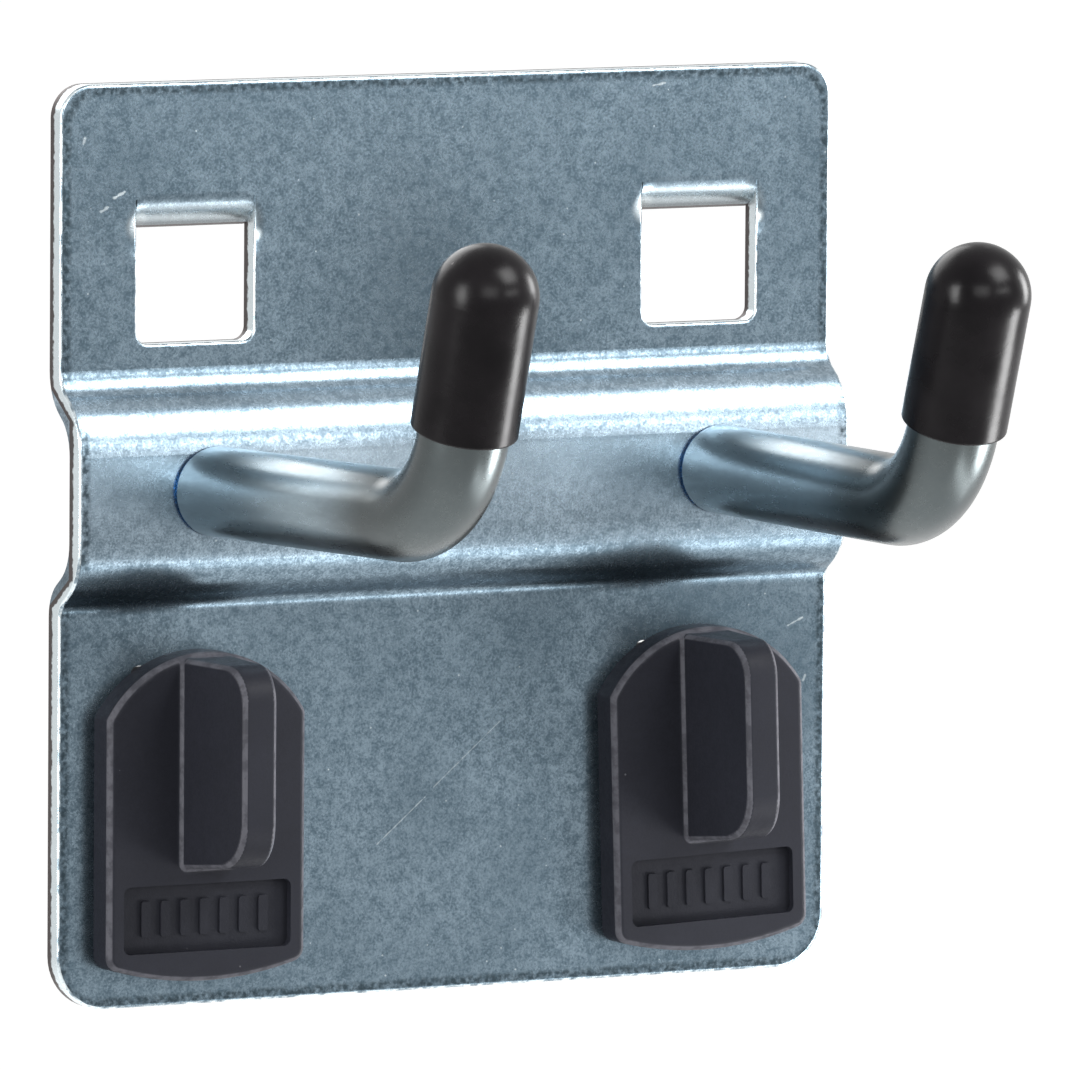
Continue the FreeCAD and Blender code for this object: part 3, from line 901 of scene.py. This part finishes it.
class TOOLHOOK_OT_plate(bpy.types.Operator):
    """Gives the stamped plate its blue-passivated zinc"""

    bl_idname = "toolhook.plate"
    bl_label = "Finish the plate"

    def execute(self, context):
        make_groups()
        zinc = plate_material(context.scene.tool_hook.plate)
        finish_nodes(("back_plate",), zinc)
        return {"FINISHED"}


class TOOLHOOK_OT_rods(bpy.types.Operator):
    """Gives the two bent rods their smooth zinc"""

    bl_idname = "toolhook.rods"
    bl_label = "Finish the rods"

    def execute(self, context):
        make_groups()
        zinc = rod_material(context.scene.tool_hook.rods)
        finish_nodes(("hook_rod_left", "hook_rod_right"), zinc)
        return {"FINISHED"}


class TOOLHOOK_OT_caps(bpy.types.Operator):
    """Gives the two end caps their black vinyl"""

    bl_idname = "toolhook.caps"
    bl_label = "Finish the caps"

    def execute(self, context):
        make_groups()
        vinyl = cap_material(context.scene.tool_hook.caps)
        finish_nodes(("end_cap_left", "end_cap_right"), vinyl)
        return {"FINISHED"}


class TOOLHOOK_OT_clips(bpy.types.Operator):
    """Gives the two lock clips their matte plastic"""

    bl_idname = "toolhook.clips"
    bl_label = "Finish the clips"

    def execute(self, context):
        make_groups()
        plastic = clip_material(context.scene.tool_hook.clips)
        finish_nodes(("lock_clip_left", "lock_clip_right"), plastic)
        return {"FINISHED"}


class TOOLHOOK_OT_studio(bpy.types.Operator):
    """Sets up the floor, the lamps and the camera"""

    bl_idname = "toolhook.studio"
    bl_label = "Set up the studio"

    def execute(self, context):
        studio = context.scene.tool_hook.studio
        make_world(studio)
        make_floor(studio)
        for name, turn, rise, distance, width, height, glow, spread_angle in LAMPS:
            soft_lamp(name, turn, rise, distance, width, height,
                      glow * studio.lamps, spread_angle)
        make_camera(studio)
        context.scene.view_settings.view_transform = "Standard"
        return {"FINISHED"}


class TOOLHOOK_PT_sidebar(bpy.types.Panel):
    """Lists the steps and settings of the tool hook"""

    bl_idname = "TOOLHOOK_PT_sidebar"
    bl_label = "Tool hook"
    bl_space_type = "VIEW_3D"
    bl_region_type = "UI"
    bl_category = "Tool hook"

    def draw(self, context):
        settings = context.scene.tool_hook
        for step in STEPS:
            box = self.layout.box()
            box.operator("toolhook." + step)
            part = getattr(settings, step)
            for name in part.__annotations__:
                box.prop(part, name)


# Operators in their order, each named as the group that holds its settings
STEPS = ("plate", "rods", "caps", "clips", "studio")

CLASSES = (
    ToolHookPlate,
    ToolHookRods,
    ToolHookCaps,
    ToolHookClips,
    ToolHookStudio,
    ToolHookSettings,
    TOOLHOOK_OT_plate,
    TOOLHOOK_OT_rods,
    TOOLHOOK_OT_caps,
    TOOLHOOK_OT_clips,
    TOOLHOOK_OT_studio,
    TOOLHOOK_PT_sidebar,
)


def register():
    """Makes the classes known and hangs the settings on the scene."""
    for made in CLASSES:
        bpy.utils.register_class(made)
    bpy.types.Scene.tool_hook = bpy.props.PointerProperty(
        type=ToolHookSettings, name="Tool hook", description="Settings of the tool hook")


def unregister():
    """Takes the settings and the classes away again."""
    del bpy.types.Scene.tool_hook
    for made in reversed(CLASSES):
        bpy.utils.unregister_class(made)


def main():
    """Runs every step."""
    register()
    for step in STEPS:
        getattr(bpy.ops.toolhook, step)()


if __name__ == "__main__":
    main()
